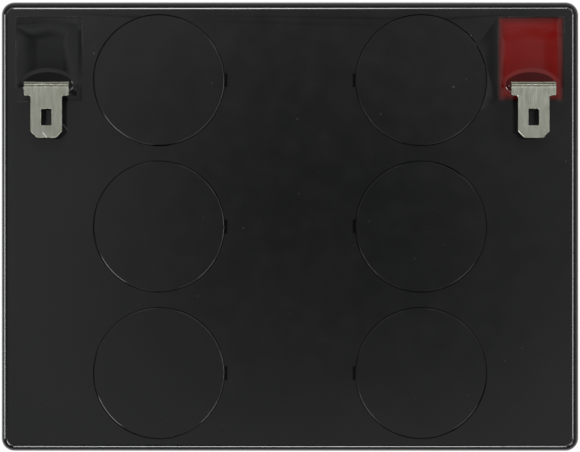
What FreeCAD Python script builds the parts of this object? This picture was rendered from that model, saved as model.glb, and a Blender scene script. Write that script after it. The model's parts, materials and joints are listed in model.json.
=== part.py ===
import FreeCAD, Part
import math
import os
import Sketcher

# A sealed lead acid battery of six cells in a case of 90 x 70 x 101 mm.
# The origin is the middle of the base's underside. X runs along the case's length towards the
# positive terminal, Y across it towards the side that carries both terminals, and Z is up.

DIMENSIONS = {
    # Case outline
    "case_length": 90,
    "case_width": 70,
    "case_height": 101,
    "corner_radius": 2,
    "lid_depth": 11,
    "lid_overhang": 0.4,
    "lid_edge_radius": 1.2,
    "side_draft_degrees": 0.25,
    "base_edge_bevel": 0.8,
    # Container
    "wall": 2.3,
    "base_floor": 2.5,
    "partition": 1.4,
    "cell_draft_degrees": 0.08,
    "tongue_wall": 0.9,
    "tongue_height": 2.5,
    # Glue groove in the lid
    "rib_wall": 1,
    "glue_gap": 0.15,
    "glue_depth": 0.2,
    # Vent covers and the wells below them
    "vent_edge": 1.9,
    "vent_spacing": 2.2,
    "vent_to_terminal": 1.7,
    "cover_thickness": 1.5,
    "cover_gap": 0.2,
    "cover_seat": 1.3,
    "seat_thickness": 0.9,
    "vent_well_rise": 0.3,
    "vent_well_floor": 1.5,
    "vent_well_wall": 1.6,
    "notch_length": 2.1,
    "notch_reach": 0.35,
    "notch_depth": 0.4,
    # Vent stubs and their rubber valves
    "stub_diameter": 5.6,
    "vent_bore": 2.5,
    "valve_diameter": 8,
    "valve_roof": 1.2,
    "valve_gap": 0.05,
    "valve_lift": 0.6,
    # Terminal wells and the resin in them
    "terminal_edge": 2.35,
    "terminal_well_width": 10.25,
    "terminal_well_length": 13.1,
    "terminal_well_floor": 1.8,
    "terminal_well_wall": 1.5,
    "terminal_well_rise": 0.5,
    "seal_setback": 0.3,
    "seal_lip": 0.4,
    "seal_dish": 0.7,
    "seal_run": 2.8,
    # Terminal tabs
    "blade_rise": 5,
    "strip_thickness": 0.8,
    "bend_radius": 0.3,
    "tab_width": 6.9,
    "leg_from_post": 3.75,
    "shoulder_length": 2.15,
    "blade_width": 4.85,
    "blade_length": 6.5,
    "blade_tip_chamfer": 1,
    "blade_hole_width": 1.6,
    "blade_hole_length": 2.55,
    "blade_hole_from_tip": 1.9,
    "foot_margin": 2.9,
    # Terminal posts
    "post_diameter": 6,
    "post_gap": 0.15,
    "spigot_width": 3.6,
    "spigot_gap": 0.1,
    "spigot_rise": 0.8,
    # Plates, straps and separators
    "positive_count": 3,
    "positive_plate": 2.5,
    "negative_plate": 1.7,
    "mat": 0.95,
    "mat_side_gap": 0.6,
    "mat_overlap": 2,
    "stack_gap": 0.3,
    "plate_side_gap": 1.5,
    "lug_inset": 3.7,
    "lug_width": 7,
    "lug_height": 5.5,
    "strap_width": 8.5,
    "strap_height": 3.5,
    # Links between cells
    "link_width": 6,
    "link_leg": 4,
    "link_margin": 0.4,
    "link_rise": 2,
    "link_bar": 3,
    "link_gap": 0.25,
    "link_headroom": 2.5,
    # How far a cut runs past the face where it opens
    "cut_margin": 1,
}

# Lengths that follow from the driving ones
SEAM = "(sizes.case_height - sizes.lid_depth)"
INNER_X = "(sizes.case_length / 2 - sizes.lid_overhang - sizes.wall)"
INNER_Y = "(sizes.case_width / 2 - sizes.lid_overhang - sizes.wall)"
CELL_LENGTH = f"({INNER_X} - sizes.partition / 2)"
CELL_WIDTH = f"((2 * {INNER_Y} - 2 * sizes.partition) / 3)"
CELL_X = f"({CELL_LENGTH} / 2 + sizes.partition / 2)"
CELL_PITCH_Y = f"({CELL_WIDTH} + sizes.partition)"
CONTAINER_TOP = f"({SEAM} + sizes.tongue_height)"

GROOVE_TOP = f"({CONTAINER_TOP} + sizes.glue_depth)"

# Three vent recesses fill the lid's width, and a terminal well stands between them and the edge.
RECESS_RADIUS = "((sizes.case_width - 2 * sizes.vent_edge - 2 * sizes.vent_spacing) / 6)"
COVER_DIAMETER = f"(2 * ({RECESS_RADIUS} - sizes.cover_gap))"
COVER_UNDERSIDE = "(sizes.case_height - sizes.cover_thickness)"
WELL_RADIUS = f"({RECESS_RADIUS} - sizes.cover_seat)"
WELL_FLOOR = f"({GROOVE_TOP} + sizes.vent_well_rise)"
STUB_TOP = f"({COVER_UNDERSIDE} - sizes.valve_roof)"
PLATE_UNDERSIDE = f"({COVER_UNDERSIDE} - sizes.seat_thickness)"
VENT_PITCH_Y = f"(2 * {RECESS_RADIUS} + sizes.vent_spacing)"
TERMINAL_X = "(sizes.case_length / 2 - sizes.terminal_edge - sizes.terminal_well_width / 2)"
TERMINAL_Y = "(sizes.case_width / 2 - sizes.terminal_edge - sizes.terminal_well_length / 2)"
VENT_X = (
    f"({TERMINAL_X} - sizes.terminal_well_width / 2 - sizes.vent_to_terminal"
    f" - {RECESS_RADIUS})")

TERMINAL_FLOOR = f"({GROOVE_TOP} + sizes.terminal_well_rise + sizes.terminal_well_floor)"
SEAL_RIM = "(sizes.case_height - sizes.seal_setback)"
BLADE_TOP = "(sizes.case_height + sizes.blade_rise)"
TAB_LEG_Y = f"({TERMINAL_Y} - sizes.leg_from_post)"
TAB_TIP_Y = f"({TAB_LEG_Y} - sizes.shoulder_length - sizes.blade_length)"

# The stack of plates and mats is fitted to the cell's width, and its height is what the lid leaves.
NEGATIVE_COUNT = "(sizes.positive_count + 1)"
LOOSE_STACK = (
    f"(sizes.positive_count * (sizes.positive_plate + 2 * sizes.mat)"
    f" + {NEGATIVE_COUNT} * sizes.negative_plate)")
STACK_FIT = f"(({CELL_WIDTH} - 2 * sizes.stack_gap) / {LOOSE_STACK})"
POSITIVE_PLATE = f"(sizes.positive_plate * {STACK_FIT})"
NEGATIVE_PLATE = f"(sizes.negative_plate * {STACK_FIT})"
MAT = f"(sizes.mat * {STACK_FIT})"
PLATE_PITCH = f"({POSITIVE_PLATE} + {NEGATIVE_PLATE} + 2 * {MAT})"
PLATE_WIDTH = f"({CELL_LENGTH} - 2 * sizes.plate_side_gap)"
PLATE_BOTTOM = f"(sizes.base_floor + {MAT})"
LINK_UNDERSIDE = f"({SEAM} - sizes.link_headroom - sizes.link_bar)"
STRAP_TOP = f"({LINK_UNDERSIDE} - sizes.link_rise)"
STRAP_BOTTOM = f"({STRAP_TOP} - sizes.strap_height)"
PLATE_TOP = f"({STRAP_BOTTOM} - sizes.lug_height)"
LUG_OFFSET = f"({PLATE_WIDTH} / 2 - sizes.lug_inset)"
POSITIVE_REACH = f"((sizes.positive_count - 1) / 2 * {PLATE_PITCH} + {POSITIVE_PLATE} / 2)"
LINK_LEG_START = f"({CELL_PITCH_Y} / 2 - {POSITIVE_REACH} + sizes.link_margin)"

document = FreeCAD.newDocument("sealed_battery")
sheet = document.addObject("Spreadsheet::Sheet", "sizes")
for line, (alias, number) in enumerate(DIMENSIONS.items(), start=1):
    sheet.set(f"A{line}", alias)
    sheet.set(f"B{line}", str(number))
    sheet.setAlias(f"B{line}", alias)
document.recompute()

subparts = []


def value(expression):
    """What an expression of the sheet's cells comes to."""
    return float(sheet.evalExpression(str(expression)))


def keep(piece, label):
    """Give a finished piece its label and list it as a sub-part."""
    piece.Label = label
    subparts.append(piece)


def new_body(name):
    return document.addObject("PartDesign::Body", name)


def origin_feature(body, role):
    for feature in body.Origin.OriginFeatures:
        if feature.Role == role:
            return feature


def new_sketch(body, name, role, x="0", y="0", out="0"):
    """A sketch on one of the body's origin planes, shifted in the plane and out along its normal."""
    sketch = body.newObject("Sketcher::SketchObject", name)
    sketch.AttachmentSupport = [(origin_feature(body, role), "")]
    sketch.MapMode = "FlatFace"
    sketch.setExpression("AttachmentOffset.Base.x", x)
    sketch.setExpression("AttachmentOffset.Base.y", y)
    sketch.setExpression("AttachmentOffset.Base.z", out)
    return sketch


def bind(sketch, kind, geometry, point, expression):
    """Constrain a point's distance from the sketch's origin to an expression."""
    index = sketch.addConstraint(
        Sketcher.Constraint(kind, -1, 1, geometry, point, value(expression)))
    sketch.setExpression(f"Constraints[{index}]", expression)


def polygon(sketch, corners):
    """A closed outline of straight lines through corners given as pairs of expressions."""
    places = [FreeCAD.Vector(value(x), value(y), 0) for x, y in corners]
    lines = []
    for index, start in enumerate(places):
        end = places[(index + 1) % len(places)]
        lines.append(sketch.addGeometry(Part.LineSegment(start, end)))
    for index, line in enumerate(lines):
        following = lines[(index + 1) % len(lines)]
        sketch.addConstraint(Sketcher.Constraint("Coincident", line, 2, following, 1))
    for line, (x, y) in zip(lines, corners):
        bind(sketch, "DistanceX", line, 1, x)
        bind(sketch, "DistanceY", line, 1, y)


def rectangle(sketch, left, bottom, right, top):
    polygon(sketch, [(left, bottom), (right, bottom), (right, top), (left, top)])


def centred_rectangle(sketch, x, y, length, width):
    rectangle(
        sketch,
        f"{x} - ({length}) / 2", f"{y} - ({width}) / 2",
        f"{x} + ({length}) / 2", f"{y} + ({width}) / 2")


def rounded_rectangle(sketch, x, y, length, width, radius):
    """A rectangle about (x, y) with four tangent corner arcs of one radius."""
    left = f"{x} - ({length}) / 2"
    right = f"{x} + ({length}) / 2"
    bottom = f"{y} - ({width}) / 2"
    top = f"{y} + ({width}) / 2"
    round_size = value(radius)
    near_x = value(left) + round_size
    far_x = value(right) - round_size
    near_y = value(bottom) + round_size
    far_y = value(top) - round_size
    centres = [(far_x, far_y), (near_x, far_y), (near_x, near_y), (far_x, near_y)]
    arcs = []
    for turn, (centre_x, centre_y) in enumerate(centres):
        full = Part.Circle(
            FreeCAD.Vector(centre_x, centre_y, 0), FreeCAD.Vector(0, 0, 1), round_size)
        start = turn * math.pi / 2
        arcs.append(sketch.addGeometry(Part.ArcOfCircle(full, start, start + math.pi / 2)))
    sides = []
    for turn in range(4):
        start = sketch.getPoint(arcs[turn], 2)
        end = sketch.getPoint(arcs[(turn + 1) % 4], 1)
        sides.append(sketch.addGeometry(Part.LineSegment(start, end)))
    for turn in range(4):
        sketch.addConstraint(Sketcher.Constraint("Tangent", arcs[turn], 2, sides[turn], 1))
        sketch.addConstraint(
            Sketcher.Constraint("Tangent", sides[turn], 2, arcs[(turn + 1) % 4], 1))
    for turn in range(1, 4):
        sketch.addConstraint(Sketcher.Constraint("Equal", arcs[0], arcs[turn]))
    sketch.addConstraint(Sketcher.Constraint("Horizontal", sides[0]))
    sketch.addConstraint(Sketcher.Constraint("Vertical", sides[1]))
    sketch.addConstraint(Sketcher.Constraint("Horizontal", sides[2]))
    sketch.addConstraint(Sketcher.Constraint("Vertical", sides[3]))
    bind(sketch, "DistanceY", sides[0], 1, top)
    bind(sketch, "DistanceX", sides[1], 1, left)
    bind(sketch, "DistanceY", sides[2], 1, bottom)
    bind(sketch, "DistanceX", sides[3], 1, right)
    index = sketch.addConstraint(Sketcher.Constraint("Radius", arcs[0], round_size))
    sketch.setExpression(f"Constraints[{index}]", radius)


def circle(sketch, x, y, diameter):
    centre = FreeCAD.Vector(value(x), value(y), 0)
    index = sketch.addGeometry(
        Part.Circle(centre, FreeCAD.Vector(0, 0, 1), value(diameter) / 2))
    bind(sketch, "DistanceX", index, 3, x)
    bind(sketch, "DistanceY", index, 3, y)
    constraint = sketch.addConstraint(Sketcher.Constraint("Diameter", index, value(diameter)))
    sketch.setExpression(f"Constraints[{constraint}]", diameter)


def extrude(body, kind, name, sketch, length, reverse=False, taper=None, symmetric=False):
    """A Pad, which grows along the sketch's normal, or a Pocket, which cuts against it."""
    feature = body.newObject(f"PartDesign::{kind}", name)
    feature.Profile = sketch
    feature.Reversed = reverse
    if symmetric:
        feature.SideType = "Symmetric"
    feature.setExpression("Length", length)
    if taper:
        feature.setExpression("TaperAngle", taper)
    return feature


def spin(body, kind, name, sketch):
    """A full Revolution or Groove about the sketch's upright axis."""
    feature = body.newObject(f"PartDesign::{kind}", name)
    feature.Profile = sketch
    feature.ReferenceAxis = (sketch, ["V_Axis"])
    feature.Angle = 360
    return feature


def grid(body, name, originals, pitch_x, pitch_y):
    """Repeat features from the corner at the least X and Y to two columns of three rows."""
    pattern = body.newObject("PartDesign::LinearPattern", name)
    pattern.Originals = originals
    pattern.Direction = (origin_feature(body, "X_Axis"), [""])
    pattern.setExpression("Length", pitch_x)
    pattern.Occurrences = 2
    pattern.Direction2 = (origin_feature(body, "Y_Axis"), [""])
    pattern.setExpression("Length2", f"2 * {pitch_y}")
    pattern.Occurrences2 = 3
    body.Tip = pattern
    return pattern


def row(body, name, originals, length, count):
    """Repeat features along Y, the first copy at the least Y."""
    pattern = body.newObject("PartDesign::LinearPattern", name)
    pattern.Originals = originals
    pattern.Direction = (origin_feature(body, "Y_Axis"), [""])
    pattern.setExpression("Length", length)
    pattern.setExpression("Occurrences", count)
    body.Tip = pattern
    return pattern


def edge_names(feature, wanted):
    """The names of a feature's edges whose bounding box passes a test."""
    document.recompute()
    return [
        f"Edge{index}"
        for index, edge in enumerate(feature.Shape.Edges, start=1)
        if wanted(edge.BoundBox)]


def round_edges(body, name, feature, wanted, radius):
    fillet = body.newObject("PartDesign::Fillet", name)
    fillet.Base = (feature, edge_names(feature, wanted))
    fillet.setExpression("Radius", radius)
    return fillet


def draft(body, name, feature, wanted, neutral, angle):
    """Tilt the faces that pass a test, about the plane of a sketch."""
    document.recompute()
    faces = [
        f"Face{index}"
        for index, face in enumerate(feature.Shape.Faces, start=1)
        if wanted(face.BoundBox)]
    tilt = body.newObject("PartDesign::Draft", name)
    tilt.Base = (feature, faces)
    tilt.NeutralPlane = (neutral, [""])
    tilt.setExpression("Angle", angle)
    return tilt


def place(piece, x, y="0", z="0"):
    piece.setExpression("Placement.Base.x", x)
    piece.setExpression("Placement.Base.y", y)
    piece.setExpression("Placement.Base.z", z)


def same(first, second):
    return abs(first - second) < 1e-4


# The five links run over the partitions, from each cell to the next one in series.
# Each is (x of its middle, y of its middle, whether it runs along Y).
STRAP_INNER = f"({CELL_X} - {LUG_OFFSET})"
STRAP_OUTER = f"({CELL_X} + {LUG_OFFSET})"
LINKS = [
    (f"-{STRAP_INNER}", f"{CELL_PITCH_Y} / 2", True),
    (f"-{STRAP_OUTER}", f"-{CELL_PITCH_Y} / 2", True),
    ("0", f"-{CELL_PITCH_Y}", False),
    (STRAP_OUTER, f"-{CELL_PITCH_Y} / 2", True),
    (STRAP_INNER, f"{CELL_PITCH_Y} / 2", True),
]


def make_container():
    """The moulded box: drafted walls, six cells, and a tongue that enters the lid's groove."""
    body = new_body("container_body")
    outline = new_sketch(body, "container_outline", "XY_Plane", out=SEAM)
    centred_rectangle(
        outline, "0", "0",
        "sizes.case_length - 2 * sizes.lid_overhang",
        "sizes.case_width - 2 * sizes.lid_overhang")
    block = extrude(body, "Pad", "container_block", outline, SEAM, reverse=True)
    sides = draft(
        body, "drafted_sides", block, lambda box: box.ZLength > 1, outline,
        "-sizes.side_draft_degrees")
    corners = round_edges(
        body, "corner_rounds", sides, lambda box: box.ZLength > 1, "sizes.corner_radius")
    bevel = body.newObject("PartDesign::Chamfer", "base_bevel")
    bevel.Base = (corners, edge_names(corners, lambda box: same(box.ZMax, 0)))
    bevel.setExpression("Size", "sizes.base_edge_bevel")

    rim = new_sketch(body, "tongue_outline", "XY_Plane", out=SEAM)
    centred_rectangle(
        rim, "0", "0",
        f"2 * ({INNER_X} + sizes.tongue_wall)", f"2 * ({INNER_Y} + sizes.tongue_wall)")
    extrude(body, "Pad", "tongue", rim, "sizes.tongue_height")

    mouth = new_sketch(body, "cell_mouth", "XY_Plane", out=CONTAINER_TOP)
    centred_rectangle(mouth, f"-{CELL_X}", f"-{CELL_PITCH_Y}", CELL_LENGTH, CELL_WIDTH)
    cell = extrude(
        body, "Pocket", "cell", mouth, f"{CONTAINER_TOP} - sizes.base_floor")
    cells = grid(body, "cells", [cell], f"2 * {CELL_X}", CELL_PITCH_Y)
    floor_z = value("sizes.base_floor")
    top_z = value(CONTAINER_TOP)
    draft(
        body, "drafted_cells", cells,
        lambda box: same(box.ZMin, floor_z) and same(box.ZMax, top_z), mouth,
        "sizes.cell_draft_degrees")

    passages = new_sketch(body, "link_passages", "XY_Plane", out=CONTAINER_TOP)
    along = "(sizes.link_width + 2 * sizes.link_gap)"
    across = f"({LINK_LEG_START} + sizes.partition)"
    for x, y, runs_along_y in LINKS:
        if runs_along_y:
            centred_rectangle(passages, x, y, along, across)
        else:
            centred_rectangle(passages, x, y, across, along)
    extrude(
        body, "Pocket", "link_notches", passages,
        f"{CONTAINER_TOP} - {LINK_UNDERSIDE} + sizes.link_gap")
    keep(body, "container")


def make_lid():
    """The moulded lid: a plate with six vent wells, two terminal wells and a glue groove."""
    body = new_body("lid_body")
    outline = new_sketch(body, "lid_outline", "XY_Plane", out=SEAM)
    rounded_rectangle(
        outline, "0", "0", "sizes.case_length", "sizes.case_width", "sizes.corner_radius")
    block = extrude(body, "Pad", "lid_block", outline, "sizes.lid_depth")
    top = value("sizes.case_height")
    round_edges(
        body, "lid_round", block, lambda box: same(box.ZMin, top),
        "min(sizes.lid_edge_radius; sizes.corner_radius * 0.9)")

    inset = "2 * (sizes.glue_gap + sizes.rib_wall)"
    hollow = new_sketch(body, "hollow_outline", "XY_Plane", out=SEAM)
    centred_rectangle(
        hollow, f"-{CELL_X}", f"-{CELL_PITCH_Y}",
        f"{CELL_LENGTH} - {inset}", f"{CELL_WIDTH} - {inset}")
    room = extrude(
        body, "Pocket", "hollow", hollow, f"{PLATE_UNDERSIDE} - {SEAM}", reverse=True)
    grid(body, "hollows", [room], f"2 * {CELL_X}", CELL_PITCH_Y)

    cup_bottom = f"({WELL_FLOOR} - sizes.vent_well_floor)"
    cup_width = f"2 * ({WELL_RADIUS} + sizes.vent_well_wall)"
    cups = new_sketch(body, "vent_cup_outlines", "XY_Plane", out=cup_bottom)
    for side in ("-", ""):
        centred_rectangle(
            cups, f"{side}{VENT_X}", "0", cup_width, f"2 * {VENT_PITCH_Y} + {cup_width}")
    inside_plate = f"({PLATE_UNDERSIDE} + sizes.seat_thickness / 2)"
    extrude(body, "Pad", "vent_cups", cups, f"{inside_plate} - {cup_bottom}")

    box_bottom = f"({TERMINAL_FLOOR} - sizes.terminal_well_floor)"
    boxes = new_sketch(body, "terminal_box_outlines", "XY_Plane", out=box_bottom)
    for side in ("-", ""):
        centred_rectangle(
            boxes, f"{side}{TERMINAL_X}", TERMINAL_Y,
            "sizes.terminal_well_width + 2 * sizes.terminal_well_wall",
            "sizes.terminal_well_length + 2 * sizes.terminal_well_wall")
    extrude(body, "Pad", "terminal_boxes", boxes, f"{inside_plate} - {box_bottom}")

    groove = new_sketch(body, "glue_groove_outline", "XY_Plane", out=SEAM)
    centred_rectangle(
        groove, "0", "0",
        f"2 * ({INNER_X} + sizes.tongue_wall + sizes.glue_gap)",
        f"2 * ({INNER_Y} + sizes.tongue_wall + sizes.glue_gap)")
    for column in (-1, 1):
        for rank in (-1, 0, 1):
            centred_rectangle(
                groove, f"{column} * {CELL_X}", f"{rank} * {CELL_PITCH_Y}",
                f"{CELL_LENGTH} - 2 * sizes.glue_gap", f"{CELL_WIDTH} - 2 * sizes.glue_gap")
    extrude(body, "Pocket", "glue_groove", groove, f"{GROOVE_TOP} - {SEAM}", reverse=True)

    # The well is turned about the vent's own axis and leaves the stub with its bore standing.
    section = new_sketch(
        body, "vent_section", "XZ_Plane", x=f"-{VENT_X}", out=VENT_PITCH_Y)
    above = "sizes.case_height + sizes.cut_margin"
    below = f"{cup_bottom} - sizes.cut_margin"
    bore = "sizes.vent_bore / 2"
    stub = "sizes.stub_diameter / 2"
    polygon(section, [
        ("0", above),
        (RECESS_RADIUS, above),
        (RECESS_RADIUS, COVER_UNDERSIDE),
        (WELL_RADIUS, COVER_UNDERSIDE),
        (WELL_RADIUS, WELL_FLOOR),
        (stub, WELL_FLOOR),
        (stub, STUB_TOP),
        (bore, STUB_TOP),
        (bore, below),
        ("0", below),
    ])
    well = spin(body, "Groove", "vent_well", section)
    grid(body, "vent_wells", [well], f"2 * {VENT_X}", VENT_PITCH_Y)

    notches = new_sketch(body, "pry_notch_outlines", "XY_Plane", out="sizes.case_height")
    recess_edge = f"({VENT_X} - {RECESS_RADIUS})"
    for side in ("-", ""):
        centred_rectangle(
            notches, f"{side}{recess_edge}", f"-{VENT_PITCH_Y}",
            "2 * sizes.notch_reach", "sizes.notch_length")
    pry = extrude(body, "Pocket", "pry_notch", notches, "sizes.notch_depth")
    row(body, "pry_notches", [pry], f"2 * {VENT_PITCH_Y}", "3")

    mouths = new_sketch(body, "terminal_well_outlines", "XY_Plane", out="sizes.case_height")
    for side in ("-", ""):
        centred_rectangle(
            mouths, f"{side}{TERMINAL_X}", TERMINAL_Y,
            "sizes.terminal_well_width", "sizes.terminal_well_length")
    extrude(
        body, "Pocket", "terminal_wells", mouths, f"sizes.case_height - {TERMINAL_FLOOR}")

    holes = new_sketch(body, "post_hole_outlines", "XY_Plane", out=TERMINAL_FLOOR)
    for side in ("-", ""):
        circle(
            holes, f"{side}{TERMINAL_X}", TERMINAL_Y,
            "sizes.post_diameter + 2 * sizes.post_gap")
    extrude(
        body, "Pocket", "post_holes", holes, "sizes.terminal_well_floor + sizes.cut_margin")
    keep(body, "lid")


def make_vent_cover(number, x, y):
    """A flush round cover that lies on the well's seat and holds the valve down."""
    body = new_body(f"vent_cover_{number}_body")
    outline = new_sketch(body, f"vent_cover_{number}_outline", "XY_Plane", out=COVER_UNDERSIDE)
    circle(outline, "0", "0", COVER_DIAMETER)
    extrude(body, "Pad", f"vent_cover_{number}_disc", outline, "sizes.cover_thickness")
    place(body, x, y)
    keep(body, f"vent_cover_{number}")


def make_vent_valve(number, x, y):
    """A rubber cap that sits on the stub and lifts off its top to let gas out."""
    body = new_body(f"vent_valve_{number}_body")
    section = new_sketch(body, f"vent_valve_{number}_section", "XZ_Plane")
    radius = "sizes.valve_diameter / 2"
    bore = "sizes.stub_diameter / 2 + sizes.valve_gap"
    bottom = f"{WELL_FLOOR} + sizes.valve_lift"
    polygon(section, [
        ("0", COVER_UNDERSIDE),
        (radius, COVER_UNDERSIDE),
        (radius, bottom),
        (bore, bottom),
        (bore, STUB_TOP),
        ("0", STUB_TOP),
    ])
    spin(body, "Revolution", f"vent_valve_{number}_cap", section)
    place(body, x, y)
    keep(body, f"vent_valve_{number}")


def make_terminal_tab(pole, x):
    """A bent strip: a foot round the post, a leg up through the resin and a blade."""
    body = new_body(f"terminal_tab_{pole}_body")
    profile = new_sketch(body, f"tab_{pole}_profile", "YZ_Plane")
    inside = f"{TAB_LEG_Y} - sizes.strip_thickness"
    underside = f"{BLADE_TOP} - sizes.strip_thickness"
    foot_top = f"{TERMINAL_FLOOR} + sizes.strip_thickness"
    foot_end = f"{TERMINAL_Y} + sizes.foot_margin"
    polygon(profile, [
        (TAB_TIP_Y, BLADE_TOP),
        (TAB_LEG_Y, BLADE_TOP),
        (TAB_LEG_Y, foot_top),
        (foot_end, foot_top),
        (foot_end, TERMINAL_FLOOR),
        (inside, TERMINAL_FLOOR),
        (inside, underside),
        (TAB_TIP_Y, underside),
    ])
    strip = extrude(
        body, "Pad", f"tab_{pole}_strip", profile, "sizes.tab_width", symmetric=True)
    leg_y = value(TAB_LEG_Y)
    inside_y = value(inside)

    def is_inner_bend(box):
        at_blade = same(box.YMin, inside_y) and same(box.ZMin, value(underside))
        at_foot = same(box.YMin, leg_y) and same(box.ZMin, value(foot_top))
        return same(box.YLength, 0) and same(box.ZLength, 0) and (at_blade or at_foot)

    def is_outer_bend(box):
        at_blade = same(box.YMin, leg_y) and same(box.ZMin, value(BLADE_TOP))
        at_foot = same(box.YMin, inside_y) and same(box.ZMin, value(TERMINAL_FLOOR))
        return same(box.YLength, 0) and same(box.ZLength, 0) and (at_blade or at_foot)

    inner = round_edges(
        body, f"tab_{pole}_inner_bends", strip, is_inner_bend, "sizes.bend_radius")
    bends = round_edges(
        body, f"tab_{pole}_outer_bends", inner, is_outer_bend,
        "sizes.bend_radius + sizes.strip_thickness")

    sides = new_sketch(body, f"tab_{pole}_sides", "XY_Plane", out=BLADE_TOP)
    shoulder = f"{TAB_LEG_Y} - sizes.shoulder_length"
    past_tip = f"{TAB_TIP_Y} - sizes.cut_margin"
    for side in ("-", ""):
        near = f"{side}sizes.blade_width / 2"
        far = f"{side}(sizes.tab_width / 2 + sizes.cut_margin)"
        rectangle(sides, near, past_tip, far, shoulder)
    blade = extrude(body, "Pocket", f"tab_{pole}_blade", sides, "2 * sizes.strip_thickness")

    half_blade = value("sizes.blade_width / 2")
    tip = value(TAB_TIP_Y)

    def is_tip_corner(box):
        at_tip = same(box.YMax, tip) and same(abs(box.XMin), half_blade)
        return at_tip and same(box.XLength, 0) and box.ZLength > 0.1

    corners = body.newObject("PartDesign::Chamfer", f"tab_{pole}_tip")
    corners.Base = (blade, edge_names(blade, is_tip_corner))
    corners.setExpression("Size", "min(sizes.blade_tip_chamfer; sizes.blade_width / 2.5)")

    window = new_sketch(body, f"tab_{pole}_window", "XY_Plane", out=BLADE_TOP)
    rectangle(
        window,
        "-sizes.blade_hole_width / 2", f"{TAB_TIP_Y} + sizes.blade_hole_from_tip",
        "sizes.blade_hole_width / 2",
        f"{TAB_TIP_Y} + sizes.blade_hole_from_tip + sizes.blade_hole_length")
    extrude(body, "Pocket", f"tab_{pole}_latch_hole", window, "2 * sizes.strip_thickness")

    eye = new_sketch(body, f"tab_{pole}_eye", "XY_Plane", out=foot_top)
    eye_width = "(sizes.spigot_width + 2 * sizes.spigot_gap)"
    centred_rectangle(eye, "0", TERMINAL_Y, eye_width, eye_width)
    extrude(body, "Pocket", f"tab_{pole}_post_hole", eye, "2 * sizes.strip_thickness")
    place(body, x)
    keep(body, f"terminal_tab_{pole}")
    return body


def make_terminal_post(pole, x):
    """A lead post from the strap up to the tab's foot, with a square spigot through it."""
    body = new_body(f"terminal_post_{pole}_body")
    outline = new_sketch(body, f"post_{pole}_outline", "XY_Plane", out=STRAP_TOP)
    circle(outline, "0", "0", "sizes.post_diameter")
    extrude(body, "Pad", f"post_{pole}_column", outline, f"{TERMINAL_FLOOR} - {STRAP_TOP}")
    square = new_sketch(body, f"spigot_{pole}_outline", "XY_Plane", out=TERMINAL_FLOOR)
    centred_rectangle(square, "0", "0", "sizes.spigot_width", "sizes.spigot_width")
    extrude(
        body, "Pad", f"post_{pole}_spigot", square,
        "sizes.strip_thickness + sizes.spigot_rise")
    place(body, x, TERMINAL_Y)
    keep(body, f"terminal_post_{pole}")
    return body


def make_terminal_seal(pole, x, tab, post):
    """Resin that fills the well round the tab and the spigot, with a dished surface."""
    body = new_body(f"terminal_seal_{pole}_fill")
    outline = new_sketch(body, f"seal_{pole}_outline", "XY_Plane", out=TERMINAL_FLOOR)
    centred_rectangle(
        outline, "0", "0", "sizes.terminal_well_width", "sizes.terminal_well_length")
    extrude(body, "Pad", f"seal_{pole}_pour", outline, f"{SEAL_RIM} - {TERMINAL_FLOOR}")

    hollow = new_sketch(body, f"seal_{pole}_hollow", "XY_Plane", out=SEAL_RIM)
    centred_rectangle(
        hollow, "0", "0",
        "sizes.terminal_well_width - 2 * sizes.seal_lip",
        "sizes.terminal_well_length - 2 * sizes.seal_lip")
    dish = extrude(body, "Pocket", f"seal_{pole}_dish", hollow, "sizes.seal_dish")
    rim_z = value(SEAL_RIM)
    inside_x = value("sizes.terminal_well_width / 2 - sizes.seal_lip / 2")
    inside_y = value("sizes.terminal_well_length / 2 - sizes.seal_lip / 2")

    def is_dish_wall(box):
        upright = same(box.ZMax, rim_z) and box.ZLength > 0.1
        return upright and abs(box.XMin) < inside_x and abs(box.YMin) < inside_y

    draft(
        body, f"seal_{pole}_slopes", dish, is_dish_wall, hollow,
        "atan(sizes.seal_run / sizes.seal_dish)")
    place(body, x, TERMINAL_Y)

    seal = body
    for name, tool in (("round_tab", tab), ("round_post", post)):
        cut = document.addObject("Part::Cut", f"seal_{pole}_{name}")
        cut.Base = seal
        cut.Tool = tool
        seal = cut
    keep(seal, f"terminal_seal_{pole}")


def make_plate_group(label, x, y, strap_side, count, thickness):
    """Plates of one polarity, each with a lug up to the cast strap that joins them."""
    body = new_body(f"{label}_body")
    first = f"-({count} - 1) / 2 * {PLATE_PITCH}"
    lug_x = f"{strap_side} * {LUG_OFFSET}"
    plate_outline = new_sketch(body, f"{label}_plate_outline", "XY_Plane", out=PLATE_BOTTOM)
    centred_rectangle(plate_outline, "0", first, PLATE_WIDTH, thickness)
    plate = extrude(
        body, "Pad", f"{label}_plate", plate_outline, f"{PLATE_TOP} - {PLATE_BOTTOM}")
    lug_outline = new_sketch(body, f"{label}_lug_outline", "XY_Plane", out=PLATE_TOP)
    centred_rectangle(lug_outline, lug_x, first, "sizes.lug_width", thickness)
    lug = extrude(body, "Pad", f"{label}_lug", lug_outline, "sizes.lug_height")
    row(body, f"{label}_plates", [plate, lug], f"({count} - 1) * {PLATE_PITCH}", count)
    strap_outline = new_sketch(body, f"{label}_strap_outline", "XY_Plane", out=STRAP_BOTTOM)
    centred_rectangle(
        strap_outline, lug_x, "0",
        "sizes.strap_width", f"({count} - 1) * {PLATE_PITCH} + {thickness}")
    extrude(body, "Pad", f"{label}_strap", strap_outline, "sizes.strap_height")
    place(body, x, y)
    keep(body, label)


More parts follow.
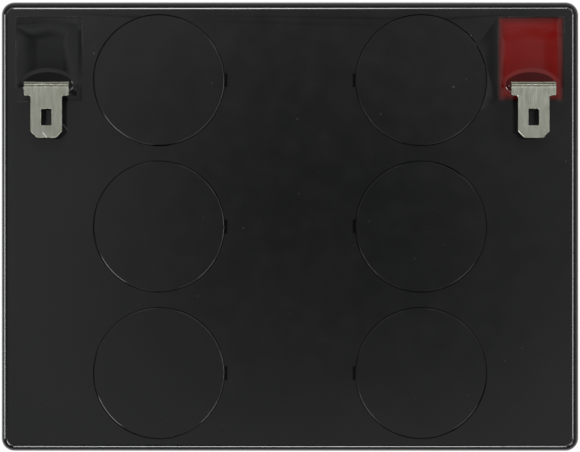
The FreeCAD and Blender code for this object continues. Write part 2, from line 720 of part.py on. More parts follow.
def make_separator(label, x, y):
    """One glass mat folded under a positive plate and up both of its faces."""
    body = new_body(f"{label}_body")
    profile = new_sketch(body, f"{label}_profile", "YZ_Plane")
    inside = f"({POSITIVE_PLATE} / 2)"
    outside = f"({POSITIVE_PLATE} / 2 + {MAT})"
    top = f"{PLATE_TOP} + sizes.mat_overlap"
    polygon(profile, [
        (f"-{outside}", "sizes.base_floor"),
        (outside, "sizes.base_floor"),
        (outside, top),
        (inside, top),
        (inside, PLATE_BOTTOM),
        (f"-{inside}", PLATE_BOTTOM),
        (f"-{inside}", top),
        (f"-{outside}", top),
    ])
    extrude(
        body, "Pad", f"{label}_fold", profile, f"{CELL_LENGTH} - 2 * sizes.mat_side_gap",
        symmetric=True)
    place(body, x, y)
    keep(body, label)


def make_cell(number, column, rank):
    """The plates and separators of one cell; odd cells have their negative strap outside."""
    x = f"{column} * {CELL_X}"
    y = f"{rank} * {CELL_PITCH_Y}"
    negative_side = column if number % 2 == 1 else -column
    make_plate_group(
        f"cell_{number}_positive_plates", x, y, -negative_side,
        "sizes.positive_count", POSITIVE_PLATE)
    make_plate_group(
        f"cell_{number}_negative_plates", x, y, negative_side,
        NEGATIVE_COUNT, NEGATIVE_PLATE)
    count = round(value("sizes.positive_count"))
    for index in range(count):
        shift = f"({index} - (sizes.positive_count - 1) / 2) * {PLATE_PITCH}"
        make_separator(f"cell_{number}_separator_{index + 1}", x, f"{y} + {shift}")


def make_link(number, x, y, runs_along_y):
    """A lead bar over a partition, with a leg down to the strap on either side."""
    body = new_body(f"cell_link_{number}_body")
    profile = new_sketch(body, f"link_{number}_profile", "XZ_Plane")
    start = LINK_LEG_START
    end = f"({LINK_LEG_START} + sizes.link_leg)"
    top = f"{LINK_UNDERSIDE} + sizes.link_bar"
    polygon(profile, [
        (f"-{end}", STRAP_TOP),
        (f"-{start}", STRAP_TOP),
        (f"-{start}", LINK_UNDERSIDE),
        (start, LINK_UNDERSIDE),
        (start, STRAP_TOP),
        (end, STRAP_TOP),
        (end, top),
        (f"-{end}", top),
    ])
    extrude(body, "Pad", f"link_{number}_bar", profile, "sizes.link_width", symmetric=True)
    if runs_along_y:
        quarter_turn = FreeCAD.Rotation(FreeCAD.Vector(0, 0, 1), 90)
        body.Placement = FreeCAD.Placement(FreeCAD.Vector(0, 0, 0), quarter_turn)
    place(body, x, y)
    keep(body, f"cell_link_{number}")


def check_document():
    """Stop when any object failed, any cut removed nothing or any sub-part is not sound."""
    document.recompute()
    for item in document.Objects:
        if "Invalid" in item.State or "Error" in item.State:
            raise RuntimeError(f"{item.Name} failed: {item.State}")
        if item.TypeId in ("PartDesign::Pocket", "PartDesign::Groove"):
            before = item.BaseFeature.Shape.Volume
            if item.Shape.Volume > before - 1e-3:
                raise RuntimeError(f"{item.Name} cuts nothing")
    for piece in subparts:
        if piece.Shape.isNull() or not piece.Shape.isValid():
            raise RuntimeError(f"{piece.Label} has no sound shape")


make_container()
make_lid()

vent_number = 0
for rank in (1, 0, -1):
    for column in (-1, 1):
        vent_number += 1
        vent_x = f"{column} * {VENT_X}"
        vent_y = f"{rank} * {VENT_PITCH_Y}"
        make_vent_cover(vent_number, vent_x, vent_y)
        make_vent_valve(vent_number, vent_x, vent_y)

for pole, side in (("negative", -1), ("positive", 1)):
    terminal_x = f"{side} * {TERMINAL_X}"
    tab = make_terminal_tab(pole, terminal_x)
    post = make_terminal_post(pole, terminal_x)
    make_terminal_seal(pole, terminal_x, tab, post)

# The cells in series: down the left column and back up the right one
CELL_PLACES = [(-1, 1), (-1, 0), (-1, -1), (1, -1), (1, 0), (1, 1)]
for cell_number, (column, rank) in enumerate(CELL_PLACES, start=1):
    make_cell(cell_number, column, rank)
for link_number, (x, y, runs_along_y) in enumerate(LINKS, start=1):
    make_link(link_number, x, y, runs_along_y)

check_document()
os.makedirs("parts", exist_ok=True)
for piece in subparts:
    piece.Shape.exportStep(f"parts/{piece.Label}.step")
    print(f"{piece.Label}: {len(piece.Shape.Solids)} solid, {piece.Shape.Volume:.1f} mm3")
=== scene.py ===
import json
import math

import bmesh
import bpy
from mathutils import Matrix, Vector, noise as field_noise


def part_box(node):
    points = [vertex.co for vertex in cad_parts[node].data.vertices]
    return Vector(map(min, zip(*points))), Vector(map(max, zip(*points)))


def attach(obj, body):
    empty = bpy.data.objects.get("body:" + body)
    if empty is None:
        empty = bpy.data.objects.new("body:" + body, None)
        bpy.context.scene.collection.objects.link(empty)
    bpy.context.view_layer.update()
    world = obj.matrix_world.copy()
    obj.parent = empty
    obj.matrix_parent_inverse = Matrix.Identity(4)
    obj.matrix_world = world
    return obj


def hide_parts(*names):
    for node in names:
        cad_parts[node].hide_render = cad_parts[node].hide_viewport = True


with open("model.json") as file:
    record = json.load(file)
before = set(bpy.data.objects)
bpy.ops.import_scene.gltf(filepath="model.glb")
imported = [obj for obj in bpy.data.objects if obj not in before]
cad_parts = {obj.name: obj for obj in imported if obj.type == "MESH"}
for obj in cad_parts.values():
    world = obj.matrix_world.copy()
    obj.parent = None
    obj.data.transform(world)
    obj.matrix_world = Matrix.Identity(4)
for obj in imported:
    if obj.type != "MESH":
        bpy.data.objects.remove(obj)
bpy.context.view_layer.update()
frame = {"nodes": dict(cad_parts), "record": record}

MM = 0.001
SCENE = bpy.context.scene
NODES = frame["nodes"]
SLOT_OF_NODE = {part["node"]: part["material_slot"] for part in frame["record"]["subparts"]}

# Places that follow from the frame
LID_LOW, LID_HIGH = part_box("lid")
LID_TOP = LID_HIGH.z
LID_CORNER = 2 * MM
TAB_LOW, TAB_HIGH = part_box("terminal_tab_negative")
TAB_TOP = TAB_HIGH.z
COVERS = [f"vent_cover_{number}" for number in range(1, 7)]
POLES = ("negative", "positive")

# The middle of a terminal tab's leg stands this far behind the tip of its blade.
LEG_FROM_TIP = 8.25 * MM

# The camera looks straight down, from where the photograph was taken.
CAMERA_ABOVE_LID = 435 * MM
CAMERA_PLACE = (0, 0.09 * MM)
CAMERA_RANGE = (0.01, 20)
PHOTO_WIDTH_ON_LID = 90.3 * MM
SENSOR_WIDTH = 36


def new_object(name, data):
    piece = bpy.data.objects.new(name, data)
    SCENE.collection.objects.link(piece)
    return piece


def finish_piece(piece, node, material):
    """Give a piece its material, and let it stand for its CAD node."""
    piece.data.materials.clear()
    piece.data.materials.append(material)
    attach(piece, "root")
    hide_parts(node)


def shade(piece, sharp_degrees=32, keep_flat=True):
    """Smooth shading that keeps the sharp edges and, where asked, keeps flat faces flat."""
    mesh = piece.data
    mesh.shade_smooth()
    mesh.set_sharp_from_angle(angle=math.radians(sharp_degrees))
    if not keep_flat:
        return
    weighted = piece.modifiers.new("weighted_normals", "WEIGHTED_NORMAL")
    weighted.keep_sharp = True
    weighted.weight = 90


def to_mesh(name, bm):
    bmesh.ops.recalc_face_normals(bm, faces=bm.faces)
    mesh = bpy.data.meshes.new(name)
    bm.to_mesh(mesh)
    bm.free()
    return mesh


# Steps that the materials are made of

def new_material(name):
    material = bpy.data.materials.new(name)
    material.use_nodes = True
    tree = material.node_tree
    return material, tree, tree.nodes["Principled BSDF"]


def places(tree):
    """The surface's own coordinates in metres."""
    return tree.nodes.new("ShaderNodeTexCoord").outputs["Object"]


def noise(tree, scale, detail=3.0, stretch=None):
    """Noise whose features repeat about `scale` times a metre."""
    vector = places(tree)
    if stretch:
        mapping = tree.nodes.new("ShaderNodeMapping")
        mapping.inputs["Scale"].default_value = stretch
        tree.links.new(vector, mapping.inputs["Vector"])
        vector = mapping.outputs["Vector"]
    texture = tree.nodes.new("ShaderNodeTexNoise")
    texture.inputs["Scale"].default_value = scale
    texture.inputs["Detail"].default_value = detail
    texture.inputs["Roughness"].default_value = 0.5
    tree.links.new(vector, texture.inputs["Vector"])
    return texture.outputs["Fac"]


def spread(tree, value, low, high, clamp=True, source=(0.3, 0.7)):
    """Map a value on to the range from low to high, by default from where most noise lies."""
    node = tree.nodes.new("ShaderNodeMapRange")
    node.clamp = clamp
    tree.links.new(value, node.inputs["Value"])
    node.inputs["From Min"].default_value = source[0]
    node.inputs["From Max"].default_value = source[1]
    node.inputs["To Min"].default_value = low
    node.inputs["To Max"].default_value = high
    return node.outputs["Result"]


def mix_colour(tree, factor, first, second):
    """Mix two colours, each a tuple or another node's output."""
    node = tree.nodes.new("ShaderNodeMix")
    node.data_type = "RGBA"
    tree.links.new(factor, node.inputs["Factor"])
    for name, colour in (("A", first), ("B", second)):
        socket = next(each for each in node.inputs if each.type == "RGBA" and each.name == name)
        if isinstance(colour, tuple):
            socket.default_value = (*colour, 1)
        else:
            tree.links.new(colour, socket)
    return next(each for each in node.outputs if each.type == "RGBA")


def calculate(tree, operation, first, second=0):
    """A Math node on two values, each a number or another node's output."""
    node = tree.nodes.new("ShaderNodeMath")
    node.operation = operation
    for socket, value in zip(node.inputs, (first, second)):
        if isinstance(value, (int, float)):
            socket.default_value = value
        else:
            tree.links.new(value, socket)
    return node.outputs[0]


def vector_step(tree, operation, first, second, output="Vector"):
    """A Vector Math node on two vectors, each a tuple or another node's output."""
    node = tree.nodes.new("ShaderNodeVectorMath")
    node.operation = operation
    for socket, value in zip(node.inputs, (first, second)):
        if isinstance(value, (tuple, Vector)):
            socket.default_value = value
        else:
            tree.links.new(value, socket)
    return node.outputs[output]


def scratch(tree, start, end, half_width):
    """1 on the line from start to end in the surface's own coordinates, 0 beside it."""
    start, end = Vector(start), Vector(end)
    run = end - start
    offset = vector_step(tree, "SUBTRACT", places(tree), start)
    along = vector_step(tree, "DOT_PRODUCT", offset, run, "Value")
    share = spread(tree, calculate(tree, "DIVIDE", along, run.length_squared), 0, 1, source=(0, 1))
    nearest = tree.nodes.new("ShaderNodeVectorMath")
    nearest.operation = "SCALE"
    nearest.inputs[0].default_value = run
    tree.links.new(share, nearest.inputs["Scale"])
    gap = vector_step(tree, "DISTANCE", offset, nearest.outputs["Vector"], "Value")
    return spread(tree, gap, 1, 0, source=(0, half_width))


def attribute(tree, name):
    """A value that the mesh holds at each vertex."""
    node = tree.nodes.new("ShaderNodeAttribute")
    node.attribute_name = name
    return node.outputs["Fac"]


def bump(tree, shader, layers):
    """Chain bumps of (height source, height in metres) into the shader's normal."""
    previous = None
    for source, height in layers:
        node = tree.nodes.new("ShaderNodeBump")
        node.inputs["Strength"].default_value = 1
        node.inputs["Distance"].default_value = height
        tree.links.new(source, node.inputs["Height"])
        if previous:
            tree.links.new(previous, node.inputs["Normal"])
        previous = node.outputs["Normal"]
    tree.links.new(previous, shader.inputs["Normal"])


# Materials: a pair of colours is what a surface varies between

CASE_COLOURS = ((0.0054, 0.0056, 0.0056), (0.0066, 0.0068, 0.0066))
DUST_COLOUR = (0.035, 0.041, 0.038)
LID_SCRATCHES = [((-35.3 * MM, 15.9 * MM, LID_TOP), (-34.6 * MM, 15.0 * MM, LID_TOP))]
LID_SCRATCH_HALF_WIDTH = 0.05 * MM
LID_SCRATCH_COLOUR = (0.08, 0.08, 0.08)

TIN_COLOURS = ((0.322, 0.331, 0.272), (0.374, 0.381, 0.328))
# A real scratch near the left tab's tip, drawn near white as a painted glint
TAB_SCRATCH_GLINTS = [((-38.0 * MM, 14.4 * MM, TAB_TOP), (-37.5 * MM, 13.8 * MM, TAB_TOP))]
TAB_SCRATCH_GLINT_HALF_WIDTH = 0.12 * MM
TAB_SCRATCH_GLINT_COLOUR = (0.95, 0.95, 0.90)
# Painted shade along a tab's upper bend, over its crease and its highlight: its place, how far it
# wanders, and how far from its middle it is at its darkest and where it ends
BEND_SHADE = TAB_LOW.y + LEG_FROM_TIP - 0.13 * MM
BEND_SHADE_WANDER = 0.05 * MM
BEND_SHADE_REACH = (0.10 * MM, 0.34 * MM)
BEND_SHADE_COLOUR = (0.078, 0.077, 0.062)


def plain_finish(name, colours, scale, roughness, metallic=0.0, stretch=None):
    """A finish whose colour and roughness vary with one noise, with a fine grain."""
    material, tree, shader = new_material(name)
    patches = noise(tree, scale, detail=4, stretch=stretch)
    colour = mix_colour(tree, spread(tree, patches, 0, 1), *colours)
    tree.links.new(colour, shader.inputs["Base Color"])
    tree.links.new(spread(tree, patches, *roughness), shader.inputs["Roughness"])
    shader.inputs["Metallic"].default_value = metallic
    bump(tree, shader, [(noise(tree, scale * 6, detail=2, stretch=stretch), 0.02 * MM)])
    return material


def case_finish():
    """Black moulded plastic: glossy and a little wavy, with dust specks and a hair scratch."""
    material, tree, shader = new_material("case_black")
    broad = noise(tree, 45, detail=2)
    fine = noise(tree, 2600, detail=2)
    colour = mix_colour(tree, spread(tree, broad, 0, 1), *CASE_COLOURS)
    dust = spread(tree, noise(tree, 1500, detail=1), 0, 1, source=(0.80, 0.85))
    colour = mix_colour(tree, dust, colour, DUST_COLOUR)
    for start, end in LID_SCRATCHES:
        mark = scratch(tree, start, end, LID_SCRATCH_HALF_WIDTH)
        colour = mix_colour(tree, mark, colour, LID_SCRATCH_COLOUR)
    tree.links.new(colour, shader.inputs["Base Color"])
    tree.links.new(spread(tree, noise(tree, 300, detail=5), 0.085, 0.125), shader.inputs["Roughness"])
    shader.inputs["IOR"].default_value = 1.5
    bump(tree, shader, [(broad, 0.03 * MM), (fine, 0.0003 * MM)])
    return material


def resin_finish(name, colours, wall_shade_colour):
    """Poured resin, glossy, with clouds in its colour and painted shade that darkens it towards the
    well's walls.
    """
    material, tree, shader = new_material(name)
    clouds = noise(tree, 220, detail=3)
    colour = mix_colour(tree, spread(tree, clouds, 0, 1), *colours)
    colour = mix_colour(tree, attribute(tree, "depth"), wall_shade_colour, colour)
    tree.links.new(colour, shader.inputs["Base Color"])
    shader.inputs["Roughness"].default_value = 0.05
    shader.inputs["IOR"].default_value = 1.52
    bump(tree, shader, [(noise(tree, 350, detail=1), 0.003 * MM)])
    return material


def tab_finish():
    """Tinned brass: satin, grain, stains, a scratch with a painted glint, painted shade on the bend."""
    material, tree, shader = new_material("tinned_brass")
    clouds = noise(tree, 380, detail=3)
    grain = noise(tree, 900, detail=3, stretch=(5.0, 0.6, 1.0))
    colour = mix_colour(tree, spread(tree, clouds, 0, 1), *TIN_COLOURS)
    place = tree.nodes.new("ShaderNodeSeparateXYZ")
    tree.links.new(places(tree), place.inputs[0])
    # Painted shade along the upper bend, darkest on its middle line
    wander = spread(tree, noise(tree, 700), -BEND_SHADE_WANDER, BEND_SHADE_WANDER, clamp=False)
    beside = calculate(tree, "SUBTRACT", place.outputs["Y"], BEND_SHADE)
    beside = calculate(tree, "ABSOLUTE", calculate(tree, "ADD", beside, wander))
    line = spread(tree, beside, 1, 0, source=BEND_SHADE_REACH)
    colour = mix_colour(tree, line, colour, BEND_SHADE_COLOUR)
    # The scratch's near-white colour is a painted glint
    for start, end in TAB_SCRATCH_GLINTS:
        mark = scratch(tree, start, end, TAB_SCRATCH_GLINT_HALF_WIDTH)
        colour = mix_colour(tree, mark, colour, TAB_SCRATCH_GLINT_COLOUR)
    tree.links.new(colour, shader.inputs["Base Color"])
    tree.links.new(spread(tree, grain, 0.20, 0.25), shader.inputs["Roughness"])
    shader.inputs["Metallic"].default_value = 1
    bump(tree, shader, [(grain, 0.0005 * MM), (noise(tree, 3000, detail=2), 0.0005 * MM)])
    return material


def floor_finish():
    """A pale floor that the camera sees as white, with the object's soft shadow on it."""
    material, tree, shader = new_material("floor_pale")
    shader.inputs["Base Color"].default_value = (0.92, 0.92, 0.92, 1)
    shader.inputs["Roughness"].default_value = 0.9
    path = tree.nodes.new("ShaderNodeLightPath")
    glow = tree.nodes.new("ShaderNodeEmission")
    glow.inputs["Strength"].default_value = 1.0
    mixed = tree.nodes.new("ShaderNodeMixShader")
    share = calculate(tree, "MULTIPLY", path.outputs["Is Camera Ray"], 0.88)
    tree.links.new(share, mixed.inputs["Fac"])
    tree.links.new(shader.outputs["BSDF"], mixed.inputs[1])
    tree.links.new(glow.outputs["Emission"], mixed.inputs[2])
    tree.links.new(mixed.outputs["Shader"], tree.nodes["Material Output"].inputs["Surface"])
    return material


FINISHES = {
    "case_black": case_finish(),
    # The third colour of each resin is painted shade at the well's walls
    "resin_black": resin_finish(
        "resin_black", ((0.0054, 0.0056, 0.0058), (0.0068, 0.0070, 0.0070)), (0.0058, 0.0060, 0.0060)),
    "resin_red": resin_finish(
        "resin_red", ((0.100, 0.0028, 0.0018), (0.112, 0.0045, 0.0034)), (0.020, 0.0032, 0.0028)),
    # The beads' darker colours are painted shade on the resin round the legs
    "resin_black_bead": resin_finish(
        "resin_black_bead", ((0.0036, 0.0036, 0.0036), (0.0042, 0.0042, 0.0042)),
        (0.0040, 0.0040, 0.0040)),
    "resin_red_bead": resin_finish(
        "resin_red_bead", ((0.040, 0.0030, 0.0030), (0.044, 0.0035, 0.0035)), (0.042, 0.0033, 0.0033)),
    "tinned_brass": tab_finish(),
    "cast_lead": plain_finish(
        "cast_lead", ((0.19, 0.20, 0.22), (0.27, 0.28, 0.30)), 300, (0.45, 0.65), metallic=1.0),
    "valve_rubber": plain_finish(
        "valve_rubber", ((0.02, 0.02, 0.02), (0.035, 0.035, 0.035)), 400, (0.6, 0.8)),
    "plate_positive": plain_finish(
        "plate_positive", ((0.10, 0.042, 0.026), (0.15, 0.065, 0.04)), 500, (0.8, 0.95)),
    "plate_negative": plain_finish(
        "plate_negative", ((0.25, 0.26, 0.28), (0.35, 0.36, 0.38)), 500, (0.7, 0.9)),
    "glass_mat": plain_finish(
        "glass_mat", ((0.74, 0.74, 0.72), (0.86, 0.86, 0.84)), 900, (0.85, 1.0), stretch=(1.0, 1.0, 0.3)),
}


# The case: the moulded pieces keep their CAD form, and their sharp edges are rounded.

WELL_RIM_ROUND = 0.03 * MM
LID_LOWER_ROUND = 0.25 * MM
BASE_ROUND = 0.3 * MM
# Closer points become one, and faces that meet at a smaller angle become one
SAME_POINT = 0.001 * MM
SAME_PLANE = math.radians(0.3)
# How exactly an edge has to be at a height, in an outline and between two normals
HEIGHT_TOLERANCE = 0.02 * MM
OUTLINE_TOLERANCE = 0.1 * MM
NORMAL_TOLERANCE = 0.05
# The base's bevel lies below a height. At its edges the two faces' tilts add up to a sum within
# a range, and differ by a least amount.
BEVEL_TOP = 1 * MM
BEVEL_TILT_SUM = (0.3, 1.9)
BEVEL_TILT_STEP = 0.2


def rounded_copy(node, name, rounds):
    """A copy of a CAD node with chosen edges rounded: rounds holds (test, radius, segments)."""
    bm = bmesh.new()
    bm.from_mesh(NODES[node].data)
    bmesh.ops.remove_doubles(bm, verts=bm.verts, dist=SAME_POINT)
    bmesh.ops.dissolve_limit(
        bm, angle_limit=SAME_PLANE, use_dissolve_boundaries=False,
        verts=bm.verts, edges=bm.edges, delimit=set())
    for wanted, radius, segments in rounds:
        bm.normal_update()
        edges = [edge for edge in bm.edges if len(edge.link_faces) == 2 and wanted(edge)]
        bmesh.ops.bevel(
            bm, geom=edges, offset=radius, offset_type="OFFSET", segments=segments,
            profile=0.5, affect="EDGES", clamp_overlap=True)
    piece = new_object(name, to_mesh(name, bm))
    shade(piece)
    return piece


def middle_of(edge):
    return (edge.verts[0].co + edge.verts[1].co) / 2


def is_at(edge, height):
    return all(abs(vertex.co.z - height) < HEIGHT_TOLERANCE for vertex in edge.verts)


def is_corner_of(edge, first, second):
    """Whether the edge is between a face whose normal's z is `first` and one with `second`."""
    rises = sorted(face.normal.z for face in edge.link_faces)
    return abs(rises[0] - first) < NORMAL_TOLERANCE and abs(rises[1] - second) < NORMAL_TOLERANCE


def is_in_terminal_well(edge):
    middle = middle_of(edge)
    for pole in POLES:
        low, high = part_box(f"terminal_seal_{pole}")
        inside_x = low.x - OUTLINE_TOLERANCE < middle.x < high.x + OUTLINE_TOLERANCE
        inside_y = low.y - OUTLINE_TOLERANCE < middle.y < high.y + OUTLINE_TOLERANCE
        if inside_x and inside_y:
            return True
    return False


def is_well_rim(edge):
    return is_at(edge, LID_TOP) and is_corner_of(edge, 0, 1) and is_in_terminal_well(edge)


def is_outermost(edge):
    """Whether the edge lies on the lid's outline, which has rounded corners."""
    middle = middle_of(edge)
    over_x = max(abs(middle.x) - (LID_HIGH.x - LID_CORNER), 0)
    over_y = max(abs(middle.y) - (LID_HIGH.y - LID_CORNER), 0)
    return math.hypot(over_x, over_y) > LID_CORNER - OUTLINE_TOLERANCE


def is_lower_edge(edge):
    return is_at(edge, LID_LOW.z) and is_corner_of(edge, -1, 0) and is_outermost(edge)


def is_bevel_edge(edge):
    """Whether the edge runs along the bevel round the container's base."""
    tilts = sorted(abs(face.normal.z) for face in edge.link_faces)
    least, most = BEVEL_TILT_SUM
    is_slanted = least < sum(tilts) < most and tilts[1] - tilts[0] > BEVEL_TILT_STEP
    return middle_of(edge).z < BEVEL_TOP and is_slanted


def make_lid():
    rounds = [(is_well_rim, WELL_RIM_ROUND, 2), (is_lower_edge, LID_LOWER_ROUND, 3)]
    finish_piece(rounded_copy("lid", "case_lid", rounds), "lid", FINISHES["case_black"])


def make_container():
    rounds = [(is_bevel_edge, BASE_ROUND, 2)]
    container = rounded_copy("container", "case_container", rounds)
    finish_piece(container, "container", FINISHES["case_black"])


# The vent covers: a disc with a faint chamfer, wider in the left column, and a tiny round

COVER_ROUND = 0.02 * MM
COVER_ROUND_STEPS = 3
CHAMFER_TILT = math.radians(21.3)
LEFT_CHAMFER = 0.028 * MM
RIGHT_CHAMFER = 0.011 * MM
COVER_STEPS = 180
# Rings on a cover's flat face: one at a share of its radius, and one at a distance from its edge
COVER_INNER_RING = 0.5
COVER_OUTER_RING = 0.3 * MM


def turned(name, profile, centre, steps):
    """A closed solid turned about an upright axis from (radius, height) pairs."""
    bm = bmesh.new()
    rings = []
    for radius, height in profile:
        if radius == 0:
            rings.append([bm.verts.new((centre.x, centre.y, height))])
            continue
        rings.append([
            bm.verts.new((
                centre.x + radius * math.cos(math.tau * step / steps),
                centre.y + radius * math.sin(math.tau * step / steps), height))
            for step in range(steps)])
    for lower, upper in zip(rings, rings[1:]):
        for step in range(steps):
            after = (step + 1) % steps
            corners = [lower[step % len(lower)], lower[after % len(lower)],
                       upper[after % len(upper)], upper[step % len(upper)]]
            bm.faces.new(dict.fromkeys(corners))
    return new_object(name, to_mesh(name, bm))


def cover_rim(radius, top, bottom, chamfer):
    """Profile of a cover's rim: the chamfer on its top face, the round and the wall."""
    drop = chamfer * math.tan(CHAMFER_TILT)
    inside = radius - COVER_ROUND
    points = [(inside - chamfer, top)]
    for step in range(COVER_ROUND_STEPS + 1):
        angle = math.pi / 2 * step / COVER_ROUND_STEPS
        points.append((
            inside + COVER_ROUND * math.sin(angle),
            top - drop - COVER_ROUND + COVER_ROUND * math.cos(angle)))
    points.append((radius, bottom))
    return points


def make_covers():
    for number, node in enumerate(COVERS, start=1):
        low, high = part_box(node)
        centre = (low + high) / 2
        radius = (high.x - low.x) / 2
        chamfer = LEFT_CHAMFER if centre.x < 0 else RIGHT_CHAMFER
        rings = (0, radius * COVER_INNER_RING, radius - COVER_OUTER_RING)
        flat = [(ring, high.z) for ring in rings]
        rim = cover_rim(radius, high.z, low.z, chamfer)
        cover = turned(f"vent_cover_disc_{number}", [*flat, *rim, (0, low.z)], centre, COVER_STEPS)
        shade(cover, sharp_degrees=15)
        finish_piece(cover, node, FINISHES["case_black"])


# The resin in the terminal wells

# The surface at the left, right and back wall of each dish: how far a flat ledge runs in from the
# wall, then the slope that eases off from there and how far that runs
DISH = {
    "negative": {
        "left": (0, 0.09, 3.4 * MM),
        "right": (0.75 * MM, 0.08, 2.2 * MM),
        "back": (1.1 * MM, 0.13, 2.8 * MM),
    },
    "positive": {
        "left": (0, 0.13, 1.2 * MM),
        "right": (0.9 * MM, 0.07, 2.4 * MM),
        "back": (2.0 * MM, 0.07, 2.0 * MM),
    },
}
# How much the surface leans along X, a place in the field of ripples, and the bead's shift along X
POURS = {"negative": (-0.021, 3.0, -0.2 * MM), "positive": (0.002, 8.0, 0)}
# How far on in the field of ripples each wall's ledge finds its unevenness
WALL_FIELDS = {"left": 4, "right": 5, "back": 4}
# How far the middle of each dish lies below the top of its seal's box
DISH_DEPTH = 0.25 * MM
# In front of the leg the surface falls away, from a line behind the leg's middle
FRONT_SLOPE = -0.06
FRONT_START = 0.4 * MM
FRONT_BLEND = 1.0 * MM
# Ripples: their height, how close they lie, how much of them is left in the calm middle, and how
# unevenly the ledges at the walls run in
WAVE_HEIGHT = 0.10 * MM
WAVES_PER_METRE = 150
CALM = 0.3
UNEVEN = 0.9
# How far the painted shade of the well's walls reaches in over the resin, and the power that it fades by
WALL_SHADE_REACH = 1.2 * MM
WALL_SHADE_POWER = 0.8
SEAL_COLUMNS = 150
SEAL_ROWS = 194
# The bead that climbs the leg: its outline, its foot as distances in from the outline with heights
# over the resin, its flank, its ridge in front of the leg's middle with its depth as a share of
# the outline's, and the skirt round it
BEAD_HALF_WIDTH = 3.98 * MM
BEAD_BACK = 2.12 * MM
BEAD_FRONT = 1.56 * MM
FOOT = ((-0.10 * MM, -0.037 * MM), (0.08 * MM, 0.030 * MM), (0.20 * MM, 0.084 * MM))
FLANK_SLOPE = 0.53
RIDGE = 0.4 * MM
RIDGE_DEPTH = 0.03
SKIRT = 0.65 * MM
SKIRT_RISE = 0.032 * MM
BEAD_STEPS = 128
# Keeps a division away from zero
TINY = 1e-9


def ripple(x, y, field):
    return field_noise.noise(Vector((x * WAVES_PER_METRE, y * WAVES_PER_METRE, field)))


def wall_rise(distance, along, field, shape):
    """Height of the surface at a distance from a wall, and how near the wall that is, up to 1."""
    ledge, slope, run = shape
    ledge *= 1 + UNEVEN * ripple(along, 0, field)
    left = max(run - max(distance - ledge, 0), 0)
    return slope * left ** 2 / (2 * run), left / run


def front_fall(y, leg_y):
    """Height of the surface in front of the leg: level at first, then down at one slope."""
    front = max(leg_y + FRONT_START - y, 0)
    if front < FRONT_BLEND:
        return FRONT_SLOPE * front ** 2 / (2 * FRONT_BLEND)
    return FRONT_SLOPE * (front - FRONT_BLEND / 2)


def beyond_bead(x, y, middle, extra):
    """Distance from the bead's middle as a share of its outline widened by a distance."""
    half_depth = BEAD_BACK if y > middle[1] else BEAD_FRONT
    return math.hypot((x - middle[0]) / (BEAD_HALF_WIDTH + extra), (y - middle[1]) / (half_depth + extra))


def skirt_rise(x, y, middle):
    """Height that the surface gains towards the bead."""
    inner = beyond_bead(x, y, middle, 0)
    outer = beyond_bead(x, y, middle, SKIRT)
    return SKIRT_RISE * min(max((1 - outer) / (inner - outer + TINY), 0), 1)


def resin_height(pole, x, y, low, high, leg):
    """Height of the poured resin over the floor of its dish."""
    lean, field, shift = POURS[pole]
    distances = {"left": (x - low.x, y), "right": (high.x - x, y), "back": (high.y - y, x)}
    squares = 0
    near_wall = 0
    for wall, (distance, along) in distances.items():
        rise, share = wall_rise(distance, along, field + WALL_FIELDS[wall], DISH[pole][wall])
        squares += rise * rise
        near_wall = max(near_wall, share)
    level = math.sqrt(squares) + lean * (x - (low.x + high.x) / 2)
    level += front_fall(y, leg[1])
    level += WAVE_HEIGHT * ripple(x, y, field) * (CALM + (1 - CALM) * near_wall)
    return level + skirt_rise(x, y, (leg[0] + shift, leg[1]))


def dish_floor(pole):
    """Height of the middle of the dish."""
    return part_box(f"terminal_seal_{pole}")[1].z - DISH_DEPTH


def leg_middle(pole):
    low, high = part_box(f"terminal_tab_{pole}")
    return (low.x + high.x) / 2, low.y + LEG_FROM_TIP


def make_seal(pole):
    """The resin: a shallow dish between the walls."""
    node = f"terminal_seal_{pole}"
    low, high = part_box(node)
    leg = leg_middle(pole)
    floor = dish_floor(pole)
    bm = bmesh.new()
    wall_shade_layer = bm.verts.layers.float.new("depth")
    grid = []
    for row in range(SEAL_ROWS + 1):
        line = []
        for column in range(SEAL_COLUMNS + 1):
            x = low.x + (high.x - low.x) * column / SEAL_COLUMNS
            y = low.y + (high.y - low.y) * row / SEAL_ROWS
            vertex = bm.verts.new((x, y, floor + resin_height(pole, x, y, low, high, leg)))
            to_wall = min(x - low.x, high.x - x, y - low.y, high.y - y)
            # The 'depth' attribute holds painted shade: 0 at the walls, where the resin takes its darker
            # colour
            vertex[wall_shade_layer] = min(to_wall / WALL_SHADE_REACH, 1) ** WALL_SHADE_POWER
            line.append(vertex)
        grid.append(line)
    for front, back in zip(grid, grid[1:]):
        for column in range(SEAL_COLUMNS):
            bm.faces.new((front[column], front[column + 1], back[column + 1], back[column]))
    border = [*grid[0], *[line[-1] for line in grid[1:]], *reversed(grid[-1][:-1]),
              *[line[0] for line in reversed(grid[1:-1])]]
    foot = [bm.verts.new((vertex.co.x, vertex.co.y, low.z)) for vertex in border]
    for index in range(len(border)):
        after = (index + 1) % len(border)
        bm.faces.new((border[after], border[index], foot[index], foot[after]))
    bm.faces.new(foot)
    seal = new_object(f"resin_{pole}", to_mesh(f"resin_{pole}", bm))
    shade(seal, sharp_degrees=8)
    finish_piece(seal, node, FINISHES[SLOT_OF_NODE[node]])


